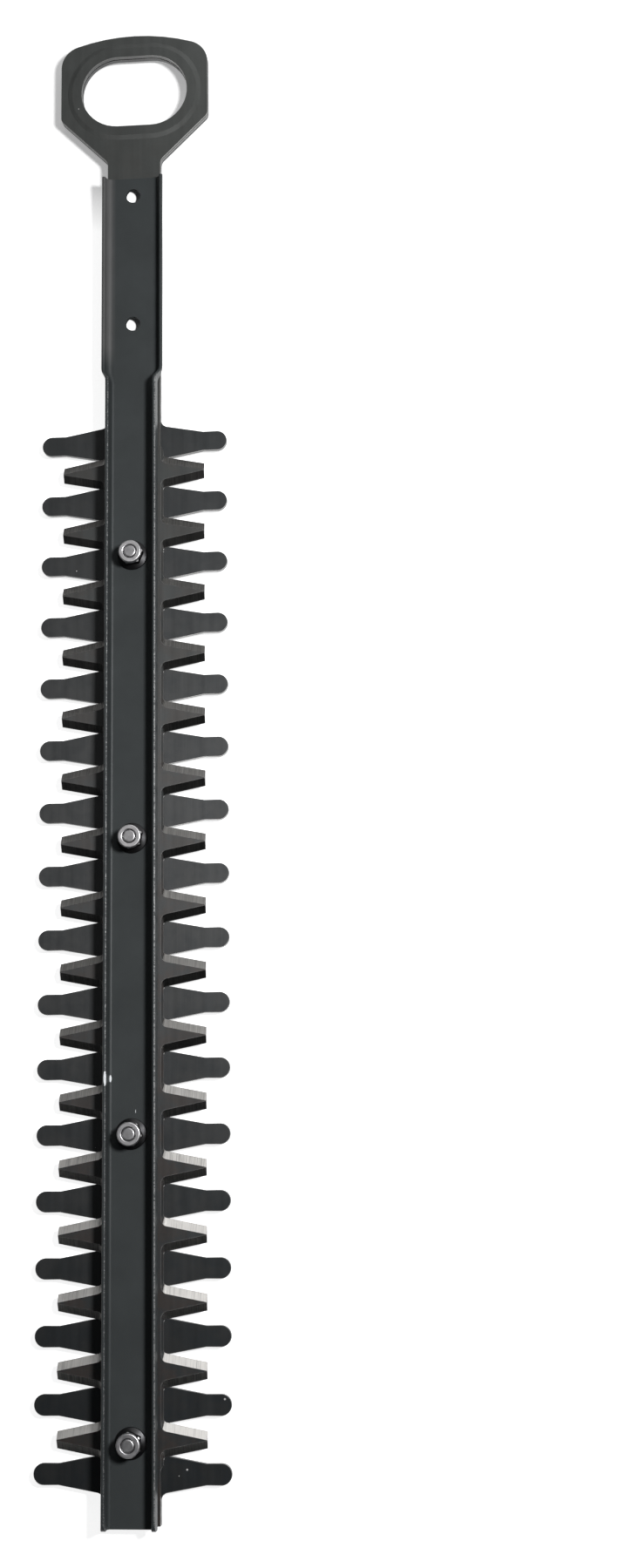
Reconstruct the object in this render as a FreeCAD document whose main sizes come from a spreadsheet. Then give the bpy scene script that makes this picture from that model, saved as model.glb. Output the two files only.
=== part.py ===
# Cutter bar of a grass trimmer: a channel rail, two toothed blades that slide under it, and the bolts that guide them.
# Millimetres. +Y runs along the bar to the drive ring, +Z stands off the rail's web on the side of the nuts.
# The origin is midway between the two fixing holes, on the face of the web.

import FreeCAD
import Part
import Sketcher
import math
import os

doc = FreeCAD.newDocument("grass_trimmer_blade")
Vector = FreeCAD.Vector
UP = Vector(0, 0, 1)

# Driving sizes: name, value, meaning.
SIZES = [
    ("blade_thick", 2.1, "sheet of both blades"),
    ("running_gap", 0.07, "gap between rail, blades and washers"),
    ("strip_width", 26.2, "back of a blade, and its neck"),
    ("blade_end", 594.5, "far end of the blades below the origin"),
    ("yoke_rise", 89.0, "centre of the drive slot above the origin"),
    ("yoke_width", 52.8, "drive slot across the bar"),
    ("yoke_length", 36.5, "drive slot along the bar"),
    ("ring_width", 73.4, "drive ring across the bar"),
    ("ring_top", 29.5, "top of the ring from the slot's centre"),
    ("ring_top_radius", 95.0, "curve of the ring's top edge"),
    ("ring_side_drop", 14.0, "lower end of the ring's straight side below the slot's centre"),
    ("neck_drop", 37.0, "upper end of the neck below the slot's centre"),
    ("ring_top_corner", 11.5, "corner radius at the ring's top"),
    ("ring_side_corner", 4.0, "corner radius at the ring's side"),
    ("neck_corner", 4.5, "radius where shoulder meets neck"),
    ("boss_margin", 7.0, "width of the pressed boss round the slot, with its slope"),
    ("boss_slope", 2.2, "width of the boss's slope"),
    ("boss_rise", 0.5, "height of the pressed boss"),
    ("tooth_pitch", 30.0, "one tooth to the next"),
    ("row_start", 92.5, "first long tooth below the origin"),
    ("long_count", 17, "long teeth on each side"),
    ("long_reach", 45.0, "tip of a long tooth from the centre line"),
    ("long_waist_reach", 33.6, "end of a long tooth's taper from the centre line"),
    ("long_root_width", 17.0, "long tooth at the strip"),
    ("long_waist_width", 9.4, "long tooth at the end of its taper"),
    ("long_end_width", 9.6, "long tooth near its rounded end"),
    ("long_end_radius", 4.7, "corner radius of the rounded end"),
    ("long_root_radius", 3.5, "radius between long tooth and strip"),
    ("long_root_run", 0.5, "strip's straight edge beyond that radius"),
    ("short_reach", 34.2, "tip of a short tooth from the centre line"),
    ("short_root_reach", 14.2, "bottom of a notch from the centre line, at the cutting face"),
    ("short_root_width", 15.5, "short tooth at the bottom of the notch"),
    ("short_tip_width", 7.5, "short tooth at its tip"),
    ("band_slope", 3.0, "slope at both ends of the row of short teeth, along the bar"),
    ("band_foot", 0.4, "end of that slope beyond the notches' bottoms"),
    ("bevel_width", 3.6, "ground bevel along a flank"),
    ("notch_bevel", 0.9, "ground bevel at the bottom of a notch"),
    ("notch_corner", 1.8, "corner radius of a notch at the cutting face"),
    ("notch_corner_top", 3.2, "corner radius of a notch at the upper face"),
    ("notch_mouth", 1.5, "cut of a notch beyond the tips"),
    ("web_thick", 1.8, "sheet of the rail"),
    ("rail_narrow", 24.5, "rail's width along the teeth"),
    ("narrow_bend", 1.3, "inside radius of the bends along the teeth"),
    ("narrow_wall", 5.75, "straight part of a flange along the teeth, between bend and rounded edge"),
    ("rail_wide", 29.9, "rail's width at the drive end"),
    ("wide_bend", 3.0, "inside radius of the bends at the drive end"),
    ("wide_wall", 0.15, "straight part of a flange at the drive end"),
    ("flange_edge", 0.75, "rounding of the flanges' edges"),
    ("flange_corner", 3.0, "corner radius of the flanges at the far end"),
    ("corner_cut", 1.0, "cut of a flange's corner beyond the rail"),
    ("rail_top", 42.0, "drive end of the rail above the origin"),
    ("joggle_start", 56.5, "start of the joggle below the origin"),
    ("joggle_length", 7.5, "length of the joggle"),
    ("rail_end", 595.4, "far end of the rail below the origin"),
    ("fixing_spacing", 66.0, "between the two fixing holes"),
    ("fixing_hole", 7.0, "diameter of the fixing holes"),
    ("guide_start", 149.4, "first guide bolt below the origin"),
    ("guide_spacing", 136.33, "one guide bolt to the next"),
    ("stroke", 10.0, "full stroke of a blade"),
    ("sleeve_outer", 10.0, "outside diameter of a sleeve"),
    ("slot_play", 0.1, "slot width over the sleeve"),
    ("bolt_hole", 6.2, "holes for the bolts in rail, sleeves and washers"),
    ("bolt_shank", 6.0, "diameter of a bolt"),
    ("bolt_head", 13.0, "diameter of a bolt head"),
    ("head_height", 2.5, "height of a bolt head"),
    ("head_chamfer", 0.5, "chamfer of a bolt head"),
    ("socket_across", 4.0, "hexagon socket across flats"),
    ("socket_depth", 1.5, "depth of the hexagon socket"),
    ("bolt_rise", 8.6, "bolt end above the web's face"),
    ("bolt_end_round", 0.7, "rounding of a bolt end"),
    ("washer_outer", 18.0, "outside diameter of a washer"),
    ("washer_thick", 1.0, "thickness of a washer"),
    ("nut_flange", 14.2, "diameter of a nut's flange"),
    ("nut_flange_edge", 0.9, "height of the flange's edge"),
    ("nut_flange_round", 0.3, "rounding of the flange's edge"),
    ("nut_flange_slope", 1.3, "rise of the flange's sloped face"),
    ("nut_across", 10.0, "nut across flats"),
    ("nut_barrel", 9.6, "diameter of a nut's barrel inside the flats"),
    ("nut_hexagon_top", 6.3, "top of the nut's flats"),
    ("nut_chamfer_width", 1.2, "chamfer of the hexagon's corners, across"),
    ("nut_chamfer_height", 0.7, "chamfer of the hexagon's corners, in height"),
    ("nut_height", 8.5, "height of a nut"),
    ("nut_collar", 10.9, "diameter of a nut's collar"),
    ("nut_collar_round", 0.6, "rounding of the collar's rim"),
    ("nut_mouth", 6.6, "mouth of the collar"),
    ("nut_mouth_round", 0.35, "rounding of the mouth"),
    ("nut_thread", 6.04, "threaded bore of a nut"),
    ("insert_outer", 8.2, "outside diameter of an insert"),
    ("insert_base", 5.6, "lower face of an insert above the web"),
    ("insert_height", 1.8, "height of an insert"),
    ("insert_bore", 6.04, "bore of an insert on the bolt"),
]

sheet = doc.addObject("Spreadsheet::Sheet", "sizes")
for row, (alias, number, meaning) in enumerate(SIZES, start=1):
    sheet.set("A%d" % row, meaning)
    sheet.set("B%d" % row, str(number))
    sheet.setAlias("B%d" % row, alias)
readings = doc.addObject("Spreadsheet::Sheet", "readings")
doc.recompute()

# Heights of the faces in the stack, each from the same sizes.
WEB_BACK = "-sizes.web_thick"
UPPER_TOP = "-sizes.web_thick - sizes.running_gap"
UPPER_BACK = "-sizes.web_thick - sizes.running_gap - sizes.blade_thick"
LOWER_TOP = "-sizes.web_thick - 2 * sizes.running_gap - sizes.blade_thick"
LOWER_BACK = "-sizes.web_thick - 2 * sizes.running_gap - 2 * sizes.blade_thick"
WASHER_TOP = "-sizes.web_thick - 3 * sizes.running_gap - 2 * sizes.blade_thick"
WASHER_BACK = WASHER_TOP + " - sizes.washer_thick"
AXIS = "0"
WEB_FACE = "0"

# Guide bolts along the bar, and the turn of each one's nut in degrees, as it was left when tightened.
NUT_TURNS = (8, 22, 51, 34)


def value(expression):
    """The number that an expression of the sheet comes to, so that a sketch is drawn near its final place."""
    readings.set("A1", "=" + expression)
    readings.recompute()
    return float(readings.get("A1"))


def new_body(name):
    """An empty body with its label."""
    body = doc.addObject("PartDesign::Body", name)
    body.Label = name
    return body


def origin_feature(body, role):
    """One plane or axis of a body's own origin."""
    return next(item for item in body.Origin.OriginFeatures if item.Role == role)


def new_sketch(body, name, height="0", role="XY_Plane"):
    """A sketch on a plane of the body's origin, shifted along the plane's normal."""
    sketch = body.newObject("Sketcher::SketchObject", name)
    sketch.AttachmentSupport = [(origin_feature(body, role), "")]
    sketch.MapMode = "FlatFace"
    sketch.setExpression("AttachmentOffset.Base.z", height)
    return sketch


def bind(sketch, kind, where, expression):
    """One dimension of a sketch, bound to the sheet."""
    index = sketch.addConstraint(Sketcher.Constraint(kind, *where, value(expression)))
    sketch.setExpression("Constraints[%d]" % index, expression)


def place_point(sketch, geometry, end, x, y):
    """Fixes one point of a sketch from its origin."""
    bind(sketch, "DistanceX", (-1, 1, geometry, end), x)
    bind(sketch, "DistanceY", (-1, 1, geometry, end), y)


def draw_polygon(sketch, corners):
    """A closed outline. Each corner is a pair of expressions, or three, where the last is its rounding radius."""
    count = len(corners)
    points = [Vector(value(corner[0]), value(corner[1]), 0) for corner in corners]
    arrive = list(points)
    leave = list(points)
    arcs = {}
    for n, corner in enumerate(corners):
        if len(corner) < 3:
            continue
        radius = value(corner[2])
        back = (points[n - 1] - points[n]).normalize()
        ahead = (points[(n + 1) % count] - points[n]).normalize()
        half_angle = back.getAngle(ahead) / 2
        middle = (back + ahead).normalize()
        arrive[n] = points[n] + back * (radius / math.tan(half_angle))
        leave[n] = points[n] + ahead * (radius / math.tan(half_angle))
        centre = points[n] + middle * (radius / math.sin(half_angle))
        turns_left = back.cross(ahead).z < 0
        first, last = (arrive[n], leave[n]) if turns_left else (leave[n], arrive[n])
        angles = [math.atan2(end.y - centre.y, end.x - centre.x) for end in (first, last)]
        if angles[1] < angles[0]:
            angles[1] += 2 * math.pi
        arcs[n] = (Part.ArcOfCircle(Part.Circle(centre, UP, radius), *angles), turns_left)
    start = sketch.GeometryCount
    for n in range(count):
        sketch.addGeometry(Part.LineSegment(leave[n], arrive[(n + 1) % count]), False)
    for n, corner in enumerate(corners):
        before = start + (n - 1) % count
        after = start + n
        if n not in arcs:
            sketch.addConstraint(Sketcher.Constraint("Coincident", before, 2, after, 1))
            place_point(sketch, after, 1, *corner)
            continue
        shape, turns_left = arcs[n]
        arc = sketch.addGeometry(shape, False)
        tip = sketch.addGeometry(Part.Point(points[n]), True)
        place_point(sketch, tip, 1, corner[0], corner[1])
        sketch.addConstraint(Sketcher.Constraint("PointOnObject", tip, 1, before))
        sketch.addConstraint(Sketcher.Constraint("PointOnObject", tip, 1, after))
        sketch.addConstraint(Sketcher.Constraint("Tangent", before, 2, arc, 1 if turns_left else 2))
        sketch.addConstraint(Sketcher.Constraint("Tangent", after, 1, arc, 2 if turns_left else 1))
        bind(sketch, "Radius", (arc,), corner[2])


def draw_circle(sketch, x, y, radius):
    """A circle whose centre and radius are expressions."""
    centre = Vector(value(x), value(y), 0)
    index = sketch.addGeometry(Part.Circle(centre, UP, value(radius)), False)
    place_point(sketch, index, 3, x, y)
    bind(sketch, "Radius", (index,), radius)


def draw_stadium(sketch, first_centre, last_centre, radius):
    """A slot outline: two half circles about the given centres, joined by two straight lines."""
    ends = [Vector(value(x), value(y), 0) for x, y in (first_centre, last_centre)]
    size = value(radius)
    heading = math.atan2(ends[1].y - ends[0].y, ends[1].x - ends[0].x)
    side = Vector(-math.sin(heading), math.cos(heading), 0) * size
    quarter = math.pi / 2
    start = sketch.GeometryCount
    circles = [Part.Circle(centre, UP, size) for centre in ends]
    sketch.addGeometry(Part.ArcOfCircle(circles[0], heading + quarter, heading + 3 * quarter), False)
    sketch.addGeometry(Part.LineSegment(ends[0] - side, ends[1] - side), False)
    sketch.addGeometry(Part.ArcOfCircle(circles[1], heading - quarter, heading + quarter), False)
    sketch.addGeometry(Part.LineSegment(ends[1] + side, ends[0] + side), False)
    for n in range(4):
        sketch.addConstraint(Sketcher.Constraint("Tangent", start + n, 2, start + (n + 1) % 4, 1))
    sketch.addConstraint(Sketcher.Constraint("Equal", start, start + 2))
    place_point(sketch, start, 3, *first_centre)
    place_point(sketch, start + 2, 3, *last_centre)
    bind(sketch, "Radius", (start,), radius)


def add(body, kind, name, sketch, **lengths):
    """A feature of the body made from a sketch, with each given property bound to an expression."""
    feature = body.newObject("PartDesign::" + kind, name)
    feature.Profile = sketch
    for key, expression in lengths.items():
        feature.setExpression(key, expression)
    sketch.Visibility = False
    body.Tip = feature
    doc.recompute()
    return feature


def cut_through(body, name, sketch, depth):
    """A pocket that goes depth both ways from its sketch."""
    pocket = add(body, "Pocket", name, sketch)
    pocket.SideType = "Symmetric"
    pocket.setExpression("Length", "2 * (%s)" % depth)
    doc.recompute()
    return pocket


def round_edges(body, name, edges, radius):
    """Rounds edges of the body's latest feature; edges is a rule on an edge."""
    before = body.Tip
    chosen = ["Edge%d" % n for n, edge in enumerate(before.Shape.Edges, start=1) if edges(edge)]
    fillet = body.newObject("PartDesign::Fillet", name)
    fillet.Base = (before, chosen)
    fillet.setExpression("Radius", radius)
    body.Tip = fillet
    doc.recompute()
    return fillet


def upright_at(places, slack=0.05):
    """A rule that picks the upright straight edges at the given places, on both sides of the centre line."""
    spots = [(value(x), value(y)) for x, y in places]

    def rule(edge):
        start, end = edge.Vertexes[0].Point, edge.Vertexes[-1].Point
        if math.hypot(start.x - end.x, start.y - end.y) > slack:
            return False
        return any(math.hypot(abs(start.x) - x, start.y - y) < slack for x, y in spots)

    return rule


def repeat(body, name, originals, role, step, count):
    """Repeats features in a straight line, against the given axis of the body's origin."""
    pattern = body.newObject("PartDesign::LinearPattern", name)
    pattern.Originals = originals
    pattern.Direction = (origin_feature(body, role), [""])
    pattern.Reversed = True
    pattern.Mode = "Spacing"
    pattern.setExpression("Offset", step)
    pattern.setExpression("Occurrences", count)
    body.Tip = pattern
    doc.recompute()
    return pattern


def guide_place(number):
    """How far below the origin a guide bolt stands."""
    return "sizes.guide_start + %d * sizes.guide_spacing" % number


# The blade blank that both blades share: drive ring, neck and back strip.
HALF_RING = "sizes.ring_width / 2"
HALF_STRIP = "sizes.strip_width / 2"
RING_TOP = "sizes.yoke_rise + sizes.ring_top"
RING_SIDE = "sizes.yoke_rise - sizes.ring_side_drop"
NECK = "sizes.yoke_rise - sizes.neck_drop"
RING_CORNER = RING_TOP + " - sizes.ring_top_radius + sqrt(sizes.ring_top_radius^2 - (sizes.ring_width / 2)^2)"
STRIP_END = "-sizes.blade_end"
YOKE_SPREAD = "(sizes.yoke_width - sizes.yoke_length) / 2"
BOSS_TAPER = "-atan(sizes.boss_slope / sizes.boss_rise)"
SLOT_RADIUS = "(sizes.sleeve_outer + sizes.slot_play) / 2"
GUIDE_REACH = "sizes.stroke / 2"
FIXING_REACH = "(sizes.stroke + sizes.fixing_hole - sizes.sleeve_outer - sizes.slot_play) / 2"


def draw_blank(sketch):
    """Outline of ring, neck and strip, closed at the top by one wide arc."""
    corners = [
        (HALF_RING, RING_CORNER), (HALF_RING, RING_SIDE), (HALF_STRIP, NECK), (HALF_STRIP, STRIP_END),
        ("-" + HALF_STRIP, STRIP_END), ("-" + HALF_STRIP, NECK), ("-" + HALF_RING, RING_SIDE),
        ("-" + HALF_RING, RING_CORNER),
    ]
    points = [Vector(value(x), value(y), 0) for x, y in corners]
    for start, end in zip(points[:-1], points[1:]):
        sketch.addGeometry(Part.LineSegment(start, end), False)
    apex = Vector(0, value(RING_TOP), 0)
    arc = sketch.addGeometry(Part.Arc(points[0], apex, points[-1]), False)
    last = arc - 1
    for n in range(last):
        sketch.addConstraint(Sketcher.Constraint("Coincident", n, 2, n + 1, 1))
    sketch.addConstraint(Sketcher.Constraint("Coincident", 0, 1, arc, 1))
    sketch.addConstraint(Sketcher.Constraint("Coincident", last, 2, arc, 2))
    for n in range(1, len(corners) - 1):
        place_point(sketch, n, 1, *corners[n])
    sketch.addConstraint(Sketcher.Constraint("Vertical", 0))
    sketch.addConstraint(Sketcher.Constraint("Vertical", last))
    place_point(sketch, arc, 3, AXIS, RING_TOP + " - sizes.ring_top_radius")
    bind(sketch, "Radius", (arc,), "sizes.ring_top_radius")


def blade_blank(body, back, boss_face, recess_face, upward):
    """Blank with rounded ring, pressed boss and drive slot."""
    outline = new_sketch(body, "blank_outline", back)
    draw_blank(outline)
    add(body, "Pad", "blank", outline, Length="sizes.blade_thick")
    round_edges(body, "ring_top_corners", upright_at([(HALF_RING, RING_CORNER)]), "sizes.ring_top_corner")
    round_edges(body, "ring_side_corners", upright_at([(HALF_RING, RING_SIDE)]), "sizes.ring_side_corner")
    round_edges(body, "neck_corners", upright_at([(HALF_STRIP, NECK)]), "sizes.neck_corner")

    left = ("-(%s)" % YOKE_SPREAD, "sizes.yoke_rise")
    right = (YOKE_SPREAD, "sizes.yoke_rise")
    boss_outline = new_sketch(body, "boss_outline", boss_face)
    draw_stadium(boss_outline, left, right, "sizes.yoke_length / 2 + sizes.boss_margin")
    boss = add(body, "Pad", "boss", boss_outline, Length="sizes.boss_rise")
    boss.setExpression("TaperAngle", BOSS_TAPER)
    boss.Reversed = not upward
    doc.recompute()
    recess_outline = new_sketch(body, "recess_outline", recess_face)
    draw_stadium(recess_outline, left, right, "sizes.yoke_length / 2 + sizes.boss_margin")
    recess = add(body, "Pocket", "recess", recess_outline, Length="sizes.boss_rise")
    recess.setExpression("TaperAngle", BOSS_TAPER)
    recess.Reversed = upward
    doc.recompute()

    slot_outline = new_sketch(body, "drive_slot_outline", back)
    draw_stadium(slot_outline, left, right, "sizes.yoke_length / 2")
    cut_through(body, "drive_slot", slot_outline, "sizes.blade_thick + 2 * sizes.boss_rise")


def cut_guide_slots(body, back):
    """Six slots on the centre line: as long as the stroke needs, round a sleeve or round a machine's bolt."""
    outline = new_sketch(body, "guide_slot_outlines", back)
    fixings = [(sign + "sizes.fixing_spacing / 2", FIXING_REACH) for sign in ("", "-")]
    guides = [("-(%s)" % guide_place(number), GUIDE_REACH) for number in range(len(NUT_TURNS))]
    for place, reach in fixings + guides:
        draw_stadium(outline, (AXIS, "%s - (%s)" % (place, reach)), (AXIS, "%s + (%s)" % (place, reach)), SLOT_RADIUS)
    cut_through(body, "guide_slots", outline, "2 * sizes.blade_thick")


# Lower blade: long blunt teeth, sheared square.
lower = new_body("lower_blade")
blade_blank(lower, LOWER_BACK, LOWER_BACK, LOWER_TOP, upward=False)
HALF_ROOT = "sizes.long_root_width / 2"
tooth_half = [
    (HALF_STRIP, HALF_ROOT + " + sizes.long_root_radius + sizes.long_root_run"),
    (HALF_STRIP, HALF_ROOT, "sizes.long_root_radius"),
    ("sizes.long_waist_reach", "sizes.long_waist_width / 2"),
    ("sizes.long_reach", "sizes.long_end_width / 2", "sizes.long_end_radius"),
]


def all_round(quarter, row):
    """The corners of a shape that is the same on both sides of the bar and of its own row, from one quarter."""
    upper_right = [(corner[0], "%s + (%s)" % (row, corner[1])) + corner[2:] for corner in quarter]
    lower_right = [(corner[0], "%s - (%s)" % (row, corner[1])) + corner[2:] for corner in reversed(quarter)]
    right = upper_right + lower_right
    return right + [("-(%s)" % corner[0],) + corner[1:] for corner in reversed(right)]


tooth_outline = new_sketch(lower, "long_tooth_outline", LOWER_BACK)
draw_polygon(tooth_outline, all_round(tooth_half, "-sizes.row_start"))
tooth = add(lower, "Pad", "long_tooth", tooth_outline, Length="sizes.blade_thick")
repeat(lower, "long_teeth", [tooth], "Y_Axis", "sizes.tooth_pitch", "sizes.long_count")
cut_guide_slots(lower, LOWER_BACK)

# Upper blade: short teeth left standing between notches that are cut and ground in one shape.
upper = new_body("upper_blade")
blade_blank(upper, UPPER_BACK, UPPER_TOP, UPPER_BACK, upward=True)
ROW_MIDDLE = "-sizes.row_start - (sizes.long_count - 1) * sizes.tooth_pitch / 2"
HALF_BAND = "((sizes.long_count - 1) / 2 - 1 / 6) * sizes.tooth_pitch"
band_quarter = [
    (HALF_STRIP, HALF_BAND + " + sizes.band_slope"),
    ("sizes.short_root_reach + sizes.band_foot", HALF_BAND),
    ("sizes.short_reach", HALF_BAND),
]
band_outline = new_sketch(upper, "tooth_band_outline", UPPER_BACK)
draw_polygon(band_outline, all_round(band_quarter, ROW_MIDDLE))
add(upper, "Pad", "tooth_band", band_outline, Length="sizes.blade_thick")

# A notch is a loft from just under the cutting face to just over the upper face, so its flanks are the ground
# bevels. A section's share is 0 at the cutting face and 1 at the upper face.
BEYOND = 0.25
FLANK_SLOPE = "(sizes.short_root_width - sizes.short_tip_width) / 2 / (sizes.short_reach - sizes.short_root_reach)"


def draw_notch(sketch, side, share):
    """A notch at one height, open towards the tips and rounded in its two inner corners."""
    root = "(sizes.tooth_pitch - sizes.short_root_width) / 2 + %s * sizes.bevel_width" % share
    depth = "sizes.short_root_reach - %s * sizes.notch_bevel" % share
    corner = "sizes.notch_corner + %s * (sizes.notch_corner_top - sizes.notch_corner)" % share
    inner = "%s - %s * sizes.notch_bevel * %s" % (root, share, FLANK_SLOPE)
    mouth = "sizes.short_reach + sizes.notch_mouth"
    outer = "%s + (%s - sizes.short_root_reach) * %s" % (root, mouth, FLANK_SLOPE)
    row = "-sizes.row_start"
    draw_polygon(sketch, [
        ("%s(%s)" % (side, mouth), "%s + (%s)" % (row, outer)),
        ("%s(%s)" % (side, depth), "%s + (%s)" % (row, inner), corner),
        ("%s(%s)" % (side, depth), "%s - (%s)" % (row, inner), corner),
        ("%s(%s)" % (side, mouth), "%s - (%s)" % (row, outer)),
    ])


notches = []
for side, word in (("", "right"), ("-", "left")):
    sections = []
    for place, share in (("low", -BEYOND), ("high", 1 + BEYOND)):
        height = "%s + %s * sizes.blade_thick" % (UPPER_BACK, share)
        section = new_sketch(upper, "notch_%s_%s" % (place, word), height)
        draw_notch(section, side, share)
        sections.append(section)
    notch = upper.newObject("PartDesign::SubtractiveLoft", "notch_" + word)
    notch.Profile = sections[0]
    notch.Sections = sections[1:]
    notch.Ruled = True
    upper.Tip = notch
    doc.recompute()
    notches.append(notch)
repeat(upper, "short_teeth", notches, "Y_Axis", "sizes.tooth_pitch", "sizes.long_count")
cut_guide_slots(upper, UPPER_BACK)

# Channel rail: one folded sheet. Its section changes at the joggle from low and wide to high and narrow, and every
# section is drawn with both bends and with the rounded edges of its flanges.
rail = new_body("stiffening_rail")

# Steps of the joggle, eased at both ends: share of its length, and share of the change of section.
JOGGLE = ((0, 0), (0.2, 0.08), (0.4, 0.34), (0.6, 0.66), (0.8, 0.92), (1, 1))


def between(share, wide, narrow):
    """An expression that goes from a size of the wide part to the same size of the narrow part."""
    return "(sizes.%s + %s * (sizes.%s - sizes.%s))" % (wide, share, narrow, wide)


def rail_section(name, distance, share):
    """The rail's section at a distance below the origin."""
    half = between(share, "rail_wide", "rail_narrow") + " / 2"
    bend = between(share, "wide_bend", "narrow_bend")
    rise = bend + " + " + between(share, "wide_wall", "narrow_wall") + " + sizes.flange_edge"
    inner = half + " - sizes.web_thick"
    right = [
        (half, WEB_BACK, bend + " + sizes.web_thick"),
        (half, rise, "sizes.flange_edge"),
        (inner, rise, "sizes.flange_edge"),
        (inner, WEB_FACE, bend),
    ]
    section = new_sketch(rail, name, distance, "XZ_Plane")
    draw_polygon(section, right + [("-(%s)" % corner[0],) + corner[1:] for corner in reversed(right)])
    return section


sections = [rail_section("drive_end_section", "-sizes.rail_top", 0)]
for step, (way, share) in enumerate(JOGGLE, start=1):
    distance = "sizes.joggle_start + %s * sizes.joggle_length" % way
    sections.append(rail_section("joggle_section_%d" % step, distance, share))
sections.append(rail_section("far_end_section", "sizes.rail_end", 1))
fold = rail.newObject("PartDesign::AdditiveLoft", "folded_sheet")
fold.Profile = sections[0]
fold.Sections = sections[1:]
fold.Ruled = True
rail.Tip = fold
doc.recompute()

corner_outline = new_sketch(rail, "flange_corner_outline", AXIS, "YZ_Plane")
FLANGE_TOP = "sizes.narrow_bend + sizes.narrow_wall + sizes.flange_edge"
CORNER_FOOT = FLANGE_TOP + " - sizes.flange_corner - sizes.corner_cut"
CORNER_HEAD = "sizes.flange_corner + sizes.corner_cut - sizes.rail_end"
draw_polygon(corner_outline, [
    ("-sizes.rail_end", CORNER_FOOT),
    ("-sizes.rail_end", FLANGE_TOP, "sizes.flange_corner"),
    (CORNER_HEAD, FLANGE_TOP),
    (CORNER_HEAD, FLANGE_TOP + " + sizes.corner_cut"),
    ("-sizes.rail_end - sizes.corner_cut", FLANGE_TOP + " + sizes.corner_cut"),
    ("-sizes.rail_end - sizes.corner_cut", CORNER_FOOT),
])
cut_through(rail, "flange_corners", corner_outline, "sizes.rail_narrow")

hole_outlines = new_sketch(rail, "hole_outlines", WEB_FACE)
for sign in ("", "-"):
    draw_circle(hole_outlines, AXIS, sign + "sizes.fixing_spacing / 2", "sizes.fixing_hole / 2")
for number in range(len(NUT_TURNS)):
    draw_circle(hole_outlines, AXIS, "-(%s)" % guide_place(number), "sizes.bolt_hole / 2")
cut_through(rail, "holes", hole_outlines, "sizes.web_thick + sizes.running_gap")


def turned(body, kind, name, corners):
    """A solid or a cut turned about the body's upright axis, from a profile of radius and height."""
    profile = new_sketch(body, name + "_profile", role="XZ_Plane")
    draw_polygon(profile, corners)
    feature = body.newObject("PartDesign::" + kind, name)
    feature.Profile = profile
    feature.ReferenceAxis = (profile, ["V_Axis"])
    feature.Angle = 360
    body.Tip = feature
    doc.recompute()
    return feature


def hexagon(across):
    """Corners of a hexagon about the origin from its width across flats."""
    corners = []
    for n in range(6):
        x = "%s / sqrt(3) * %.12f" % (across, math.cos(n * math.pi / 3))
        y = "%s / sqrt(3) * %.12f" % (across, math.sin(n * math.pi / 3))
        corners.append((x, y))
    return corners


def ring(name, outer, inner, base, height):
    """A flat ring or tube about the body's axis."""
    body = new_body(name)
    outline = new_sketch(body, "outline", base)
    for diameter in (outer, inner):
        draw_circle(outline, AXIS, AXIS, diameter + " / 2")
    add(body, "Pad", "ring", outline, Length=height)
    return body


def guide_bolt(name):
    """Low round head with a hexagon socket, shank and rounded end."""
    body = new_body(name)
    head = "%s - sizes.head_height" % WASHER_BACK
    turned(body, "Revolution", "bolt", [
        (AXIS, head),
        ("sizes.bolt_head / 2 - sizes.head_chamfer", head),
        ("sizes.bolt_head / 2", head + " + sizes.head_chamfer"),
        ("sizes.bolt_head / 2", WASHER_BACK),
        ("sizes.bolt_shank / 2", WASHER_BACK),
        ("sizes.bolt_shank / 2", "sizes.bolt_rise", "sizes.bolt_end_round"),
        (AXIS, "sizes.bolt_rise"),
    ])
    socket_outline = new_sketch(body, "socket_outline", head)
    draw_polygon(socket_outline, hexagon("sizes.socket_across"))
    socket = add(body, "Pocket", "socket", socket_outline, Length="sizes.socket_depth")
    socket.Reversed = True
    doc.recompute()
    return body


def lock_nut(name):
    """Flange, chamfered hexagon and rolled collar, bored for the bolt and for the insert."""
    body = new_body(name)
    flange_top = "sizes.nut_flange_edge + sizes.nut_flange_slope"
    turned(body, "Revolution", "flange_and_collar", [
        (AXIS, WEB_FACE),
        ("sizes.nut_flange / 2", WEB_FACE),
        ("sizes.nut_flange / 2", "sizes.nut_flange_edge", "sizes.nut_flange_round"),
        ("sizes.nut_barrel / 2", flange_top),
        ("sizes.nut_barrel / 2", "sizes.nut_hexagon_top"),
        ("sizes.nut_collar / 2", "sizes.nut_hexagon_top"),
        ("sizes.nut_collar / 2", "sizes.nut_height", "sizes.nut_collar_round"),
        (AXIS, "sizes.nut_height"),
    ])
    flats_outline = new_sketch(body, "flats_outline", "sizes.nut_flange_edge / 2")
    draw_polygon(flats_outline, hexagon("sizes.nut_across"))
    add(body, "Pad", "flats", flats_outline, Length="sizes.nut_hexagon_top - sizes.nut_flange_edge / 2")
    turned(body, "Groove", "flats_chamfer", [
        ("sizes.nut_across / 2", "sizes.nut_hexagon_top"),
        ("sizes.nut_across / 2 + sizes.nut_chamfer_width", "sizes.nut_hexagon_top - sizes.nut_chamfer_height"),
        ("sizes.nut_across / 2 + sizes.nut_chamfer_width", "sizes.nut_hexagon_top"),
    ])
    insert_top = "sizes.insert_base + sizes.insert_height"
    turned(body, "Groove", "bore", [
        (AXIS, WEB_BACK),
        ("sizes.nut_thread / 2", WEB_BACK),
        ("sizes.nut_thread / 2", "sizes.insert_base"),
        ("sizes.insert_outer / 2", "sizes.insert_base"),
        ("sizes.insert_outer / 2", insert_top),
        ("sizes.nut_mouth / 2", insert_top),
        ("sizes.nut_mouth / 2", "sizes.nut_height", "sizes.nut_mouth_round"),
        ("sizes.nut_collar / 2", "sizes.nut_height"),
        ("sizes.nut_collar / 2", "sizes.nut_height + sizes.web_thick"),
        (AXIS, "sizes.nut_height + sizes.web_thick"),
    ])
    return body


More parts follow.
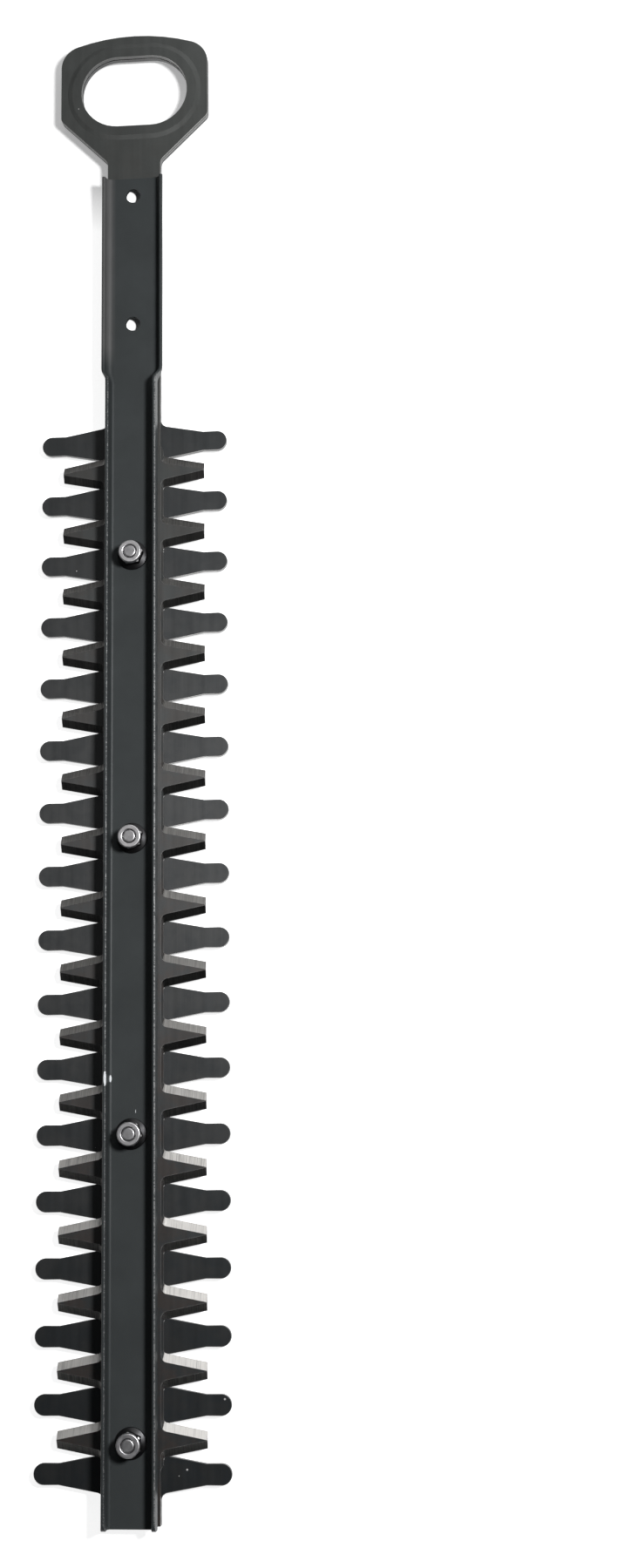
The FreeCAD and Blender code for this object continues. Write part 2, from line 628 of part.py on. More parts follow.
bodies = [rail, upper, lower]
for number, turn in enumerate(NUT_TURNS):
    label = str(number + 1)
    fasteners = [
        guide_bolt("guide_bolt_" + label),
        ring("guide_sleeve_" + label, "sizes.sleeve_outer", "sizes.bolt_hole", WASHER_TOP,
             "2 * sizes.blade_thick + 3 * sizes.running_gap"),
        ring("plate_washer_" + label, "sizes.washer_outer", "sizes.bolt_hole", WASHER_BACK, "sizes.washer_thick"),
        lock_nut("lock_nut_" + label),
        ring("nut_insert_" + label, "sizes.insert_outer", "sizes.insert_bore", "sizes.insert_base",
             "sizes.insert_height"),
    ]
    for body in fasteners:
        body.Placement = FreeCAD.Placement(Vector(0, 0, 0), FreeCAD.Rotation(UP, turn))
        body.setExpression("Placement.Base.y", "-(%s)" % guide_place(number))
    bodies += fasteners
doc.removeObject("readings")
doc.recompute()

faults = [item.Name for item in doc.Objects if "Invalid" in item.State or "Error" in item.State]
os.makedirs("parts", exist_ok=True)
for body in bodies:
    shape = body.Shape
    if shape.isNull() or not shape.isValid() or len(shape.Solids) != 1:
        faults.append(body.Label)
    shape.exportStep("parts/%s.step" % body.Label)
    box = shape.optimalBoundingBox()
    print("%-18s %9.1f mm3  x %.2f..%.2f  y %.2f..%.2f  z %.2f..%.2f" % (
        body.Label, shape.Volume, box.XMin, box.XMax, box.YMin, box.YMax, box.ZMin, box.ZMax))
if faults:
    raise SystemExit("faulty: " + ", ".join(faults))
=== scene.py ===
# %% [markdown]
# # A trimmer's cutter bar on a pale floor
#
# The bar is two toothed blades that slide against each other under a folded steel rail, held by four lock
# nuts. Its shapes come from the CAD frame. This lesson gives them their finishes: satin paint with worn
# edges, oiled dark steel with ground bevels, and zinc on the bolts and nuts.
#
# The bar lies along Y, with its drive rings at y = 0.09 m and its far end at y = -0.6 m. X goes to the
# right, and Z goes up off the floor. Every length is in metres, if nothing else is said.

import bpy
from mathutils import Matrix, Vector


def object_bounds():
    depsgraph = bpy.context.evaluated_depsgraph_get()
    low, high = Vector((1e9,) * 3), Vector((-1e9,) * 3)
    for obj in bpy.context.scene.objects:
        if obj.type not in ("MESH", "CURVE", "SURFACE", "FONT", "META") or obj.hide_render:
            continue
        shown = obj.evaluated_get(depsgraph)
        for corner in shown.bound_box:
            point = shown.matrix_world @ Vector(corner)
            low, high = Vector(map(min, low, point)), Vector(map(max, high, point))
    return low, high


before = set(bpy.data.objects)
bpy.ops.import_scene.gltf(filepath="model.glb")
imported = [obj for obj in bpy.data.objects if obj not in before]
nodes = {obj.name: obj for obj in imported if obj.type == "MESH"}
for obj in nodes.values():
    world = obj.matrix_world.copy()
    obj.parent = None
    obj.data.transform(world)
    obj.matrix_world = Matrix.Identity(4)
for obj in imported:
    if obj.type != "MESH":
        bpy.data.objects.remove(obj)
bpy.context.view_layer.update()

# %% [markdown]
# ## Small helpers for node trees
#
# A material is a tree of nodes. Writing each node and each link on lines of its own hides the idea behind
# the wiring, so a few helpers keep it short. A value that is given as a socket becomes a link, and a plain
# number stays on the socket, where it can be changed by hand.


# %% Helpers: nodes
def plug(tree, node, inputs):
    """Fills a node's inputs, given by name or number, with plain values or with other sockets."""
    for key, value in inputs.items():
        socket = node.inputs[key]
        if isinstance(value, bpy.types.NodeSocket):
            tree.links.new(value, socket)
        elif socket.type == "RGBA":
            socket.default_value = (*value, 1.0)
        else:
            socket.default_value = value


def add_node(tree, kind, inputs=None, **settings):
    """A new node of that kind with its settings, and with its inputs filled."""
    node = tree.nodes.new(kind)
    for name, value in settings.items():
        setattr(node, name, value)
    plug(tree, node, inputs or {})
    return node


print("node helpers ready")

# %% [markdown]
# ## Sums on a surface
#
# A mask is a number from 0 to 1 at each point. The masks here are made of a handful of steps: arithmetic, a
# ramp that goes from one level to another, the point's place, the parts of a vector, and soft noise. Each
# step is one node, and as a function it reads like a formula.


# %% Helpers: numbers
def calc(tree, operation, *values):
    """The result of one Math node."""
    return add_node(tree, "ShaderNodeMath", dict(enumerate(values)), operation=operation).outputs[0]


def product(tree, first, *others):
    """All the values multiplied together."""
    for other in others:
        first = calc(tree, "MULTIPLY", first, other)
    return first


def ramp(tree, value, span, levels):
    """Goes from the first level to the second as the value crosses the span, and is level beyond it."""
    inputs = {0: value, 1: span[0], 2: span[1], 3: levels[0], 4: levels[1]}
    return add_node(tree, "ShaderNodeMapRange", inputs).outputs[0]


def calc_vector(tree, operation, *values):
    """The result of one Vector Math node: a number for a length or a dot product, otherwise a vector."""
    node = add_node(tree, "ShaderNodeVectorMath", dict(enumerate(values)), operation=operation)
    return node.outputs["Value" if operation in ("LENGTH", "DOT_PRODUCT") else "Vector"]


def point_on(tree):
    """The point's place on its piece."""
    return add_node(tree, "ShaderNodeTexCoord").outputs["Object"]


def split(tree, vector):
    """The X, Y and Z of a vector."""
    return add_node(tree, "ShaderNodeSeparateXYZ", {0: vector}).outputs


def noise(tree, place, rate, detail, roughness=0.5):
    """A soft tone round one half, with rate cells to the metre. Detail is the number of finer layers."""
    inputs = {"Vector": place, "Scale": rate, "Detail": detail, "Roughness": roughness}
    return add_node(tree, "ShaderNodeTexNoise", inputs).outputs[0]


print("number helpers ready")

# %% [markdown]
# ## Groups
#
# An effect that several finishes share is built once, as a group of nodes with named sockets, and is then
# placed in each material with its own values.


# %% Helpers: groups
def start_group(name, inputs, outputs):
    """An empty group, the sockets of its inputs, and its output node. Inputs are (name, type, default)."""
    group = bpy.data.node_groups.new(name, "ShaderNodeTree")
    for label, kind, default in inputs:
        socket = group.interface.new_socket(label, in_out="INPUT", socket_type="NodeSocket" + kind)
        socket.default_value = default
    for label, kind in outputs:
        group.interface.new_socket(label, in_out="OUTPUT", socket_type="NodeSocket" + kind)
    return group, group.nodes.new("NodeGroupInput").outputs, group.nodes.new("NodeGroupOutput")


def use_group(tree, group, inputs):
    """The outputs of a group placed in a tree, with its own values."""
    return add_node(tree, "ShaderNodeGroup", inputs, node_tree=group).outputs


print("group helpers ready")

# %% [markdown]
# ## Blotches
#
# Handled steel and sprayed paint are never one even tone: oil, heat and film thickness leave soft patches,
# from a few millimetres to some centimetres wide, with finer ones inside. Painting them by hand would need
# an image, so a noise with finer layers does it. It swings a factor to both sides of one, and the factor
# then multiplies a colour or a gloss.

# %% Group: blotches
blotches, given, out = start_group(
    "Blotches",
    [("Size", "Float", 0.02), ("Depth", "Float", 0.15)],
    [("Factor", "Float")],
)
rate = calc(blotches, "DIVIDE", 1.0, given["Size"])
swing = calc(blotches, "SUBTRACT", noise(blotches, point_on(blotches), rate, 3.0, 0.6), 0.5)
reach = calc(blotches, "MULTIPLY", given["Depth"], 4.0)
plug(blotches, out, {"Factor": calc(blotches, "MULTIPLY_ADD", swing, reach, 1.0)})
print("group", blotches.name)

# %% [markdown]
# ## Specks
#
# Bare metal shows as bright dots where the oxide is broken. Each cell of a Voronoi texture has a point and a
# random value. Keeping only some of the cells, and only the part near the point, leaves scattered dots. The
# share of cells that is kept is an input, so the dots can be rare or dense.

# %% Group: specks
specks, given, out = start_group(
    "Specks",
    [("Spacing", "Float", 0.0015), ("Share", "Float", 0.1), ("Radius", "Float", 0.25)],
    [("Mask", "Float")],
)
rate = calc(specks, "DIVIDE", 1.0, given["Spacing"])
cells = add_node(specks, "ShaderNodeTexVoronoi", {"Vector": point_on(specks), "Scale": rate}).outputs
chance = add_node(specks, "ShaderNodeSeparateColor", {0: cells["Color"]}).outputs[0]
kept = calc(specks, "LESS_THAN", chance, given["Share"])
near = calc(specks, "LESS_THAN", cells["Distance"], given["Radius"])
plug(specks, out, {"Mask": product(specks, kept, near)})
print("group", specks.name)

# %% [markdown]
# ## Edges
#
# Oxide wears first on the outer edges. The Bevel node gives the normal that a rounded edge would have, and
# where that leaves the true normal, there is an edge. One minus their dot product, scaled and clamped, is
# the mask. The rounded normal's Y is given out too, since it tells which way an edge faces, and the blades
# keep their partly painted edge highlight mostly on edges that face the far end.

# %% Group: edges
edges, given, out = start_group(
    "Edges",
    [("Width", "Float", 0.0004)],
    [("Mask", "Float"), ("Facing Y", "Float")],
)
true_normal = add_node(edges, "ShaderNodeNewGeometry").outputs["True Normal"]
rounded = add_node(edges, "ShaderNodeBevel", {"Radius": given["Width"]}, samples=6).outputs[0]
turned = calc(edges, "SUBTRACT", 1.0, calc_vector(edges, "DOT_PRODUCT", rounded, true_normal))
mask = add_node(edges, "ShaderNodeMath", {0: turned, 1: 6.0}, operation="MULTIPLY", use_clamp=True).outputs[0]
plug(edges, out, {"Mask": mask, "Facing Y": split(edges, rounded)["Y"]})
print("group", edges.name)

# %% [markdown]
# ## Broken lines
#
# An edge that shines evenly looks drawn, so a fine noise breaks it up. A narrow ramp cuts the noise into
# grains that are there or not, and the amount moves the cut: the larger it is, the more of the line is left.

# %% Group: broken line
broken, given, out = start_group(
    "Broken line",
    [("Grain", "Float", 0.0006), ("Amount", "Float", 0.5)],
    [("Mask", "Float")],
)
rate = calc(broken, "DIVIDE", 1.0, given["Grain"])
grains = noise(broken, point_on(broken), rate, 3.0, 0.7)
cut = calc(broken, "SUBTRACT", 0.9, calc(broken, "MULTIPLY", given["Amount"], 0.8))
plug(broken, out, {"Mask": ramp(broken, grains, (cut, calc(broken, "ADD", cut, 0.08)), (0.0, 1.0))})
print("group", broken.name)

# %% [markdown]
# ## Chips
#
# A knock leaves one small mark at one place, and a painted glint is drawn the same way. It is an ellipsoid
# round a centre: the point's offset, divided by the half sizes, is shorter than one inside it. A little noise
# on that length makes the rim ragged.

# %% Group: chip
chip, given, out = start_group(
    "Chip",
    [("Centre", "Vector", (0.0, 0.0, 0.0)), ("Half sizes", "Vector", (0.001, 0.001, 0.001))],
    [("Mask", "Float")],
)
place = point_on(chip)
offset = calc_vector(chip, "SUBTRACT", place, given["Centre"])
reach = calc_vector(chip, "LENGTH", calc_vector(chip, "DIVIDE", offset, given["Half sizes"]))
rim = calc(chip, "MULTIPLY_ADD", noise(chip, place, 1800.0, 2.0), 0.5, reach)
plug(chip, out, {"Mask": calc(chip, "LESS_THAN", rim, 1.25)})
print("group", chip.name)

# %% [markdown]
# ## Starting a material
#
# Every finish here ends in one Principled shader. What is the same all over a surface is set on the shader's
# socket at once, so only what changes from place to place is wired. Colours are changed in two ways: tint
# multiplies one by a factor, and blend lays one over another through a mask.


# %% Helpers: materials
def start_material(name, **constants):
    """A new material, its tree and its Principled shader, with constant sockets set."""
    material = bpy.data.materials.new(name)
    material.use_nodes = True
    tree = material.node_tree
    shader = tree.nodes["Principled BSDF"]
    plug(tree, shader, {label.replace("_", " "): value for label, value in constants.items()})
    return material, tree, shader


def grey(tree, level):
    """A grey as light as the level."""
    return add_node(tree, "ShaderNodeCombineColor", {0: level, 1: level, 2: level}).outputs[0]


def tint(tree, colour, factor):
    """The colour times a factor that changes over the surface."""
    inputs = {"Factor": 1.0, "A": colour, "B": grey(tree, factor)}
    return add_node(tree, "ShaderNodeMix", inputs, data_type="RGBA", blend_type="MULTIPLY").outputs["Result"]


def blend(tree, mask, under, over):
    """The colour under where the mask is 0, and over where it is 1."""
    inputs = {"Factor": mask, "A": under, "B": over}
    return add_node(tree, "ShaderNodeMix", inputs, data_type="RGBA").outputs["Result"]


def chipped(tree, chips):
    """One mask for all small marks, chips and painted glints, each given as its centre and its half sizes in
    millimetres.
    """
    mask = 0.0
    for centre, half_sizes in chips:
        inputs = {
            "Centre": [value / 1000 for value in centre],
            "Half sizes": [value / 1000 for value in half_sizes],
        }
        mask = calc(tree, "MAXIMUM", mask, use_group(tree, chip, inputs)["Mask"])
    return mask


print("material helpers ready")

# %% [markdown]
# ## The rail's paint
#
# The rail is folded sheet with a satin dark grey paint, slightly uneven in tone. Along the left bend of its
# wide drive end, which faces the key lamp, the paint is painted a paler grey as a painted highlight. A mask
# for such a place is the product of ramps: one says how far to the left a point is, and one how near to the
# drive end.

# %% Rail paint: tone and painted bend highlight
rail_paint, tree, shader = start_material("Rail paint", Specular_IOR_Level=0.3)
dark_paint = (0.0325, 0.0372, 0.0385)
lit_bend_grey = (0.080, 0.080, 0.080)
place = point_on(tree)
where = split(tree, place)
# Painted highlight: the left bend at the drive end faces the key lamp and is painted a paler grey.
on_left_bend = ramp(tree, where["X"], (-0.0115, -0.0085), (1.0, 0.0))
at_drive_end = ramp(tree, where["Y"], (-0.055, -0.045), (0.0, 1.0))
painted_bend_highlight = product(tree, on_left_bend, at_drive_end)
tone = use_group(tree, blotches, {"Size": 0.025, "Depth": 0.14})["Factor"]
paint = tint(tree, blend(tree, painted_bend_highlight, dark_paint, lit_bend_grey), tone)
print("paint", dark_paint, "scuffed to", lit_bend_grey)

# %% [markdown]
# ## The worn and lit crests of the rail
#
# The upper edges of the flanges are rounded over, and the paint is worn off them in grains. The grains are
# kept only on the right shoulders, which face the key lamp, so they also stand in for a painted highlight.
# On a shoulder the normal leans over to +X, but isn't yet level as it is on the wall. So the mask is a window
# on the normal's X, times a ramp over the height, broken up into grains, a little denser on the right flange.

# %% Rail paint: worn crests with painted highlight
worn_lit_steel = (0.29, 0.29, 0.29)
leaning = split(tree, add_node(tree, "ShaderNodeNewGeometry").outputs["Normal"])["X"]
# Partly painted highlight: bare-steel grains are kept only where the normal leans towards the key lamp.
past_top = ramp(tree, leaning, (0.10, 0.60), (0.0, 1.0))
before_wall = ramp(tree, leaning, (0.75, 0.95), (1.0, 0.0))
at_crest = ramp(tree, where["Z"], (0.0062, 0.0074), (0.0, 1.0))
amount = ramp(tree, where["X"], (-0.005, 0.005), (0.48, 0.57))
grains = use_group(tree, broken, {"Grain": 1 / 1500, "Amount": amount})["Mask"]
crest_wear_and_highlight = product(tree, past_top, before_wall, at_crest, grains)
paint = blend(tree, crest_wear_and_highlight, paint, worn_lit_steel)
print("crests worn to", worn_lit_steel)

# %% [markdown]
# ## Painted glints, a scratch, gloss and skin of the paint
#
# Two white marks are painted glints, a small lamp mirrored at one place: one on the crest of the left flange
# and one at its foot, on the bend. A third mark is a scratch through the paint on the web. The paint is
# glossier on the bends and flanges, which hands polish, than on the web. Sprayed paint dries with a skin like
# that of an orange, only finer, and a bump from small noise gives it.

# %% Rail paint: painted glints, scratch, gloss and skin
glint_and_scratch_white = (0.70, 0.72, 0.74)
# Painted reflections: the first two marks are glints of a small lamp on the left crest and bend; the third is
# a real scratch.
glints_and_scratch = chipped(tree, [
    ((-10.9, -396.9, 7.8), (0.7, 3.4, 0.9)),
    ((-9.6, -396.9, 0.6), (0.6, 2.1, 0.7)),
    ((1.9, -411.9, 0.0), (0.12, 0.8, 0.2)),
])
roughness = ramp(tree, calc(tree, "ABSOLUTE", where["X"]), (0.0080, 0.0098), (0.70, 0.46))
skin = noise(tree, place, 900.0, 2.0)
bump = add_node(tree, "ShaderNodeBump", {"Strength": 0.25, "Distance": 0.00004, "Height": skin})
plug(tree, shader, {
    "Base Color": blend(tree, glints_and_scratch, paint, glint_and_scratch_white),
    "Metallic": crest_wear_and_highlight,
    "Roughness": roughness,
    "Normal": bump.outputs[0],
})
print("material", rail_paint.name)

# %% [markdown]
# ## The blades' oxide
#
# Both blades are hardened strip with a thin dark oxide, stained where oil stood on it. Rolling has left
# faint lines along the strip, so the steel's tone wanders more across the strip than along it. A noise whose
# cells are long in one direction draws such lines. Towards the drive rings the colour is painted lighter and
# greyer as painted light, and the right teeth are painted a little lighter than the left ones, as lit by the
# key lamp.


# %% Helpers: the oxide
def lined(tree, place, rates, detail):
    """A noise with its own number of cells to the metre along X, Y and Z."""
    stretched = add_node(tree, "ShaderNodeMapping", {"Vector": place, "Scale": rates}).outputs[0]
    return noise(tree, stretched, 1.0, detail)


def oxide(tree, place, rolling, stained, face, stain, lit_ring_tone):
    """The colour of the oxide: face with stains, painted lighter towards the rings and on the right, in an
    uneven tone.
    """
    where = split(tree, place)
    # Painted light: the colour turns lighter towards the rings and towards the right, the side of the key
    # lamp.
    painted_ring_light = ramp(tree, where["Y"], (-0.35, 0.12), (0.0, 1.0))
    colour = blend(tree, painted_ring_light, blend(tree, stained, face, stain), lit_ring_tone)
    tone = use_group(tree, blotches, {"Size": 0.012, "Depth": 0.10})["Factor"]
    lit_right_side = ramp(tree, where["X"], (-0.01, 0.035), (0.98, 1.30))
    rolled = calc(tree, "MULTIPLY_ADD", rolling, 0.46, 0.76)
    return tint(tree, colour, product(tree, tone, lit_right_side, rolled))


print("oxide helpers ready")

# %% [markdown]
# ## The ground bevels
#
# The bevels of the short teeth are ground through the oxide to bright metal, with fine lines across the
# cutting edge. A bevel slopes, and a flat face doesn't, so the upright part of the normal tells them apart.
# Towards the far end the bevels are painted much brighter, and those that face the rings brighter than
# those that face the far end: a painted reflection of the far window.


# %% Helper: the bevels
def ground_bevels(tree, place, grinding):
    """The mask of the bevels, and the colour of their ground metal with a painted reflection in it."""
    ground_metal = (0.41, 0.40, 0.385)
    facing = split(tree, add_node(tree, "ShaderNodeNewGeometry").outputs["True Normal"])
    not_flat = calc(tree, "LESS_THAN", facing["Z"], 0.95)
    not_steep = calc(tree, "GREATER_THAN", facing["Z"], 0.75)
    streaks = calc(tree, "MULTIPLY_ADD", grinding, 1.3, 0.35)
    # Painted reflection: brighter towards the far end and on bevels that face the far window beyond the
    # rings.
    far_end_sheen = ramp(tree, split(tree, place)["Y"], (-0.465, -0.37), (2.4, 0.95))
    window_side_sheen = ramp(tree, facing["Y"], (-0.1, 0.1), (0.4, 1.0))
    streaks_and_sheen = calc(tree, "MINIMUM", product(tree, streaks, far_end_sheen, window_side_sheen), 2.4)
    return product(tree, not_flat, not_steep), tint(tree, ground_metal, streaks_and_sheen)


print("bevel helper ready")

# %% [markdown]
# ## Bare steel and painted edge highlights on the blades
#
# Bare steel shows in three ways: as a broken line along the edges, as rare bright specks, and as a few chips.
# The line is kept mostly on the right teeth and on edges that face the far end, where the key lamp catches
# the rounded edges, so it is partly a painted highlight. The strongest of the three masks holds at each
# point.


# %% Helper: bare steel and painted edge highlight
def bare_steel_and_edge_highlight(tree, place, chips):
    """Where the oxide is gone: a broken line on the edges, partly a painted highlight, rare specks and the
    chips.
    """
    edge = use_group(tree, edges, {"Width": 0.0006})
    grains = use_group(tree, broken, {"Grain": 0.0012, "Amount": 0.85})["Mask"]
    # Partly painted highlight: the edge line is kept on the right and on edges facing the far end, where the
    # key lamp catches them.
    to_far_end = ramp(tree, edge["Facing Y"], (-0.35, -0.1), (1.0, 0.2))
    toward_lit_right = ramp(tree, split(tree, place)["X"], (0.0, 0.02), (0.35, 1.0))
    line = product(tree, edge["Mask"], grains, to_far_end, toward_lit_right)
    dots = use_group(tree, specks, {"Spacing": 0.0035, "Share": 0.05, "Radius": 0.07})["Mask"]
    return calc(tree, "MAXIMUM", calc(tree, "MAXIMUM", line, dots), chipped(tree, chips))


print("bare steel helper ready")

# %% [markdown]
# ## The blades' steel
#
# The two blades share one recipe with different colours: the upper blade's short teeth are a little brown,
# and the lower blade's long teeth are nearly black. Rolled steel mirrors a lamp as a band across its lines,
# not as a spot. Anisotropy does that: it stretches what is mirrored along the tangent, which points across
# the bar. So the key lamp lights up the teeth in the middle of the bar and fades towards both ends.


# %% Materials: the two blades
def blade_material(name, face, stain, lit_ring_tone, chips):
    """Stained oxide on the flat faces, ground metal on the bevels, and bright bare steel where the oxide is
    gone and where a painted edge highlight falls.
    """
    scraped_and_lit_steel = (0.62, 0.61, 0.60)
    material, tree, shader = start_material(name, Specular_IOR_Level=0.58, Anisotropic=0.6)
    place = point_on(tree)
    rolling = lined(tree, place, (320.0, 14.0, 14.0), 2.0)
    grinding = lined(tree, place, (2200.0, 50.0, 50.0), 3.0)
    stained = ramp(tree, noise(tree, place, 110.0, 5.0, 0.65), (0.42, 0.60), (0.0, 1.0))
    dark = oxide(tree, place, rolling, stained, face, stain, lit_ring_tone)
    bevel, bright = ground_bevels(tree, place, grinding)
    bare_and_highlight = bare_steel_and_edge_highlight(tree, place, chips)
    rolled = calc(tree, "MULTIPLY_ADD", rolling, 0.12, 0.31)
    bump = add_node(tree, "ShaderNodeBump", {"Strength": 0.3, "Distance": 0.00005, "Height": grinding})
    across = add_node(tree, "ShaderNodeCombineXYZ", {"X": 1.0})
    plug(tree, shader, {
        "Base Color": blend(tree, bare_and_highlight, blend(tree, bevel, dark, bright), scraped_and_lit_steel),
        "Metallic": calc(tree, "MAXIMUM", bevel, product(tree, bare_and_highlight, 0.3)),
        "Roughness": calc(tree, "MULTIPLY_ADD", stained, 0.05, rolled),
        "Normal": bump.outputs[0],
        "Tangent": across.outputs[0],
    })
    return material


upper_steel = blade_material(
    "Upper blade steel",
    face=(0.030, 0.0255, 0.0235),
    stain=(0.019, 0.021, 0.022),
    lit_ring_tone=(0.044, 0.047, 0.045),
    chips=[((20.5, -562.1, -1.8), (0.5, 1.2, 0.5))],
)
lower_steel = blade_material(
    "Lower blade steel",
    face=(0.0120, 0.0140, 0.0155),
    stain=(0.0125, 0.0135, 0.0140),
    lit_ring_tone=(0.020, 0.022, 0.023),
    chips=[((41.9, -539.9, -4.0), (0.45, 0.45, 0.5)), ((24.8, -570.4, -4.0), (0.45, 0.45, 0.5))],
)
print("materials", upper_steel.name, "and", lower_steel.name)

# %% [markdown]
# ## Plain metals
#
# The bolts are dull zinc, and the sleeves and washers are ground hardened steel. One recipe serves both: a
# metal that is cloudy in tone and gloss.


# %% Materials: bolts, sleeves and washers
def cloudy(tree, shader, colour, roughness, size, depth):
    """Gives the shader a colour and a roughness that both follow the same blotches."""
    tone = use_group(tree, blotches, {"Size": size, "Depth": depth})["Factor"]
    plug(tree, shader, {"Base Color": tint(tree, colour, tone), "Roughness": product(tree, tone, roughness)})


dull_zinc, tree, shader = start_material("Dull zinc", Metallic=1.0)
cloudy(tree, shader, (0.50, 0.495, 0.505), 0.42, 0.002, 0.12)
hard_steel, tree, shader = start_material("Ground steel", Metallic=1.0)
cloudy(tree, shader, (0.35, 0.34, 0.33), 0.35, 0.006, 0.12)
print("materials", dull_zinc.name, "and", hard_steel.name)

# %% [markdown]
# ## Nuts and their locking rings
#
# A nut's hexagon and flange are painted nearly black as painted shade, for the rail flange's shadow and the
# dim room, and only the collar above them is bright zinc. The change goes with the height, so a ramp over Z
# mixes the two. The locking ring inside the collar is dull plastic.

# %% Materials: nuts and locking rings
shaded_zinc = (0.05, 0.05, 0.052)
bright_collar_zinc = (0.72, 0.71, 0.72)
nut_zinc, tree, shader = start_material("Zinc plating", Metallic=1.0)
# Painted shade: below the collar the zinc is painted nearly black.
collar_mask = ramp(tree, split(tree, point_on(tree))["Z"], (0.0052, 0.0062), (0.0, 1.0))
cloudy(tree, shader, blend(tree, collar_mask, shaded_zinc, bright_collar_zinc), 0.40, 0.003, 0.10)
nylon, tree, shader = start_material("Locking ring", Roughness=0.6)
tone = use_group(tree, blotches, {"Size": 0.003, "Depth": 0.1})["Factor"]
plug(tree, shader, {"Base Color": tint(tree, (0.02, 0.02, 0.022), tone)})
print("materials", nut_zinc.name, "and", nylon.name)

# %% [markdown]
# ## Dressing the CAD parts
#
# The CAD parts keep their meshes. Each gets its finish through its material slot, chosen by the start of its
# name.

# %% Finishes on the CAD parts
finishes = {
    "stiffening_rail": rail_paint,
    "upper_blade": upper_steel,
    "lower_blade": lower_steel,
    "guide_bolt": dull_zinc,
    "lock_nut": nut_zinc,
    "guide_sleeve": hard_steel,
    "plate_washer": hard_steel,
    "nut_insert": nylon,
}
for name, part in nodes.items():
    finish = next(value for start, value in finishes.items() if name.startswith(start))
    part.data.materials.clear()
    part.data.materials.append(finish)
print("dressed", len(nodes), "parts")

# %% [markdown]
# ## Floor
#
# The bar lies on a sheet of white paper, wide enough to reach the horizon in a low view. One quad is enough
# for it, at the height of the part's lowest point.

# %% Floor: the sheet
floor_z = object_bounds()[0].z
reach = 6.0
corners = [
    (-reach, -reach, floor_z),
    (reach, -reach, floor_z),
    (reach, reach, floor_z),
    (-reach, reach, floor_z),
]
floor_mesh = bpy.data.meshes.new("Floor")
floor_mesh.from_pydata(corners, [], [(0, 1, 2, 3)])
floor = bpy.data.objects.new("Floor", floor_mesh)
bpy.context.scene.collection.objects.link(floor)
print("floor at z", round(floor_z * 1000, 2), "mm")

# %% [markdown]
# ## The paper's glow
#
# A catalogue picture is lit past white, with only faint shadows, so the paper glows a little by itself:
# painted light that keeps the shadows on it pale. It glows less round the drive ring, so the soft grey shadow
# that shows how high the ring lies stays, and not at all under the drive end, which is painted shade there.
# Two round spots under the fixing holes glow fully: painted pools of light where light falls through the
# holes.

# %% Floor: the paper
full_glow = 0.84
paper_white = (0.85, 0.85, 0.85)
paper, tree, shader = start_material(
    "Floor paper",
    Roughness=0.9,
    Base_Color=paper_white,
    Emission_Strength=1.0,
)


def around(tree, centre, stretch, span, levels):
    """A ramp over the distance from a point on the floor, with the distance along X counted stretch times."""
    offset = calc_vector(tree, "SUBTRACT", point_on(tree), (*centre, floor_z))
    scaled = calc_vector(tree, "MULTIPLY", offset, (stretch, 1.0, 1.0))
    return ramp(tree, calc_vector(tree, "LENGTH", scaled), span, levels)


# Painted light: the glow pales the floor's shadows; it is weaker round the ring and gone under the drive end,
# as painted shade.
shade_round_ring = around(tree, (0.0, 0.092), 1.0, (0.050, 0.075), (0.35, full_glow))
dark_under_drive_end = around(tree, (0.0, 0.0), 4.0, (0.046, 0.060), (0.0, full_glow))
glow = calc(tree, "MINIMUM", shade_round_ring, dark_under_drive_end)
# Painted pools of light: two spots under the fixing holes glow fully.
for painted_spot in ((-0.0039, 0.0361), (-0.0039, -0.0306)):
    glow = calc(tree, "MAXIMUM", glow, around(tree, painted_spot, 1.0, (0.0033, 0.0038), (1.0, 0.0)))
plug(tree, shader, {"Emission Color": grey(tree, glow)})
floor_mesh.materials.append(paper)
print("material", paper.name)

# %% [markdown]
# ## Lamps
#
# The key lamp stands up and to the right. It is small, so it draws clear shadows beside the flanges and the
# nuts, and the rolled teeth mirror it as a band in the middle of the bar. A wide ceiling panel adds a little
# light from above, and a far window beyond the ring is mirrored in the ground bevels.


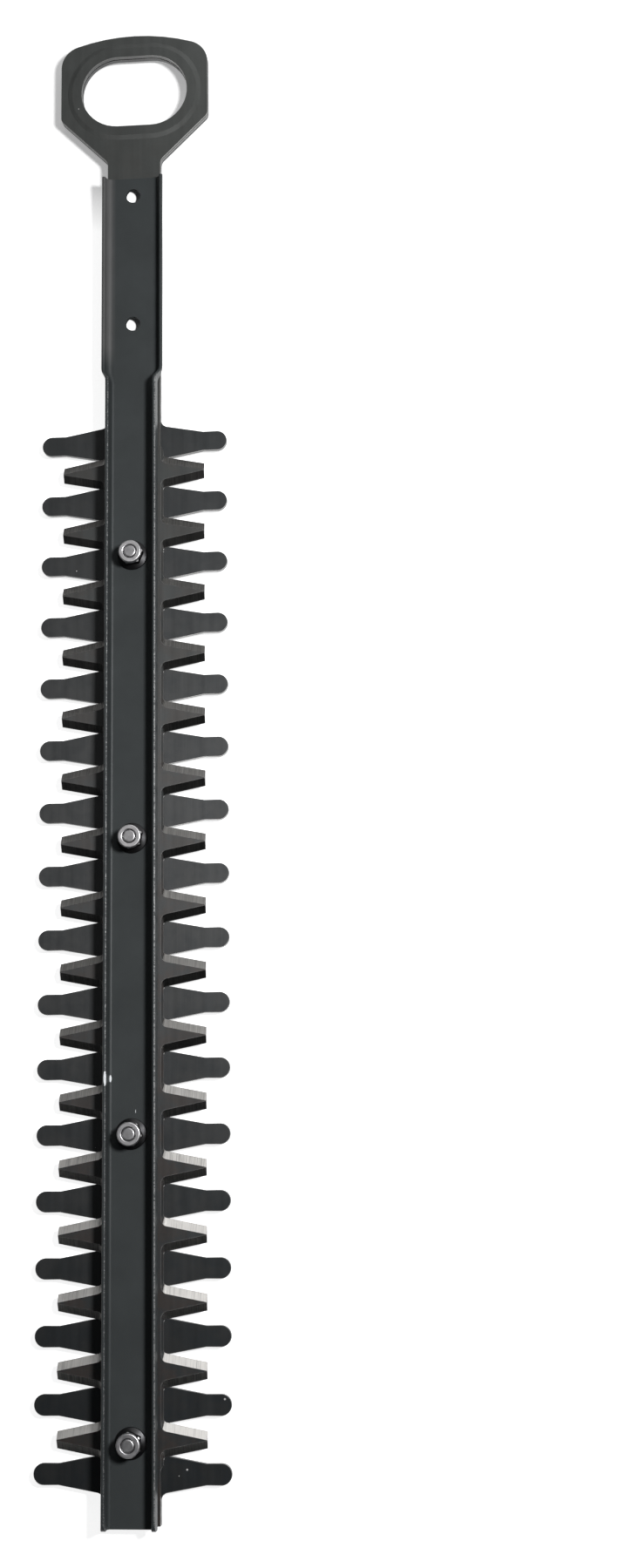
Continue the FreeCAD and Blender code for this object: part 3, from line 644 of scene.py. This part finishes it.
# %% Lamps
def panel(name, at, aim, width, length, power):
    """An area lamp at one point, turned to face another."""
    lamp = bpy.data.lights.new(name, "AREA")
    lamp.shape = "RECTANGLE"
    lamp.size = width
    lamp.size_y = length
    lamp.energy = power
    holder = bpy.data.objects.new(name, lamp)
    bpy.context.scene.collection.objects.link(holder)
    holder.location = at
    holder.rotation_euler = (Vector(aim) - Vector(at)).to_track_quat("-Z", "Y").to_euler()
    holder.visible_camera = False
    return holder


lamps = [
    panel("Key", (0.62, -0.13, 0.96), (0.0, -0.25, 0.0), 0.20, 0.20, 14.0),
    panel("Ceiling", (-0.10, 0.38, 1.60), (0.0, 0.10, 0.0), 0.9, 1.7, 1.5),
    panel("Far window", (0.35, 1.30, 1.10), (0.0, -0.40, 0.0), 1.2, 0.9, 4.2),
]
print("lamps:", [lamp.name for lamp in lamps])

# %% [markdown]
# ## The room
#
# The room around the lamps is dim, so what faces it stays dark. Past the end of the paper it would then show
# as a black wall, so where the camera sees it directly it is as pale as the paper.

# %% The room
world = bpy.data.worlds.new("Room")
world.use_nodes = True
tree = world.node_tree
dim = tree.nodes["Background"]
plug(tree, dim, {"Color": (0.9, 0.95, 1.0), "Strength": 0.03})
pale = add_node(tree, "ShaderNodeBackground", {"Color": (0.87, 0.87, 0.87), "Strength": 1.0})
seen = add_node(tree, "ShaderNodeLightPath").outputs["Is Camera Ray"]
wall = add_node(tree, "ShaderNodeMixShader", {0: seen, 1: dim.outputs[0], 2: pale.outputs[0]})
plug(tree, tree.nodes["World Output"], {"Surface": wall.outputs[0]})
bpy.context.scene.world = world
bpy.context.scene.view_settings.view_transform = "Standard"
print("world", world.name)

# %% [markdown]
# ## Camera
#
# The picture was taken with a normal lens, from nearly a metre above the lower half of the bar and to its
# right.

# %% Camera
camera_data = bpy.data.cameras.new("Camera")
camera_data.lens = 47.08
camera_data.sensor_width = 36.0
camera = bpy.data.objects.new("Camera", camera_data)
bpy.context.scene.collection.objects.link(camera)
camera.location = (0.16854, -0.41155, 0.94024)
camera.rotation_euler = (0.1558, 0.0888, -0.0121)
bpy.context.scene.camera = camera
print("camera at", [round(value, 3) for value in camera.location])
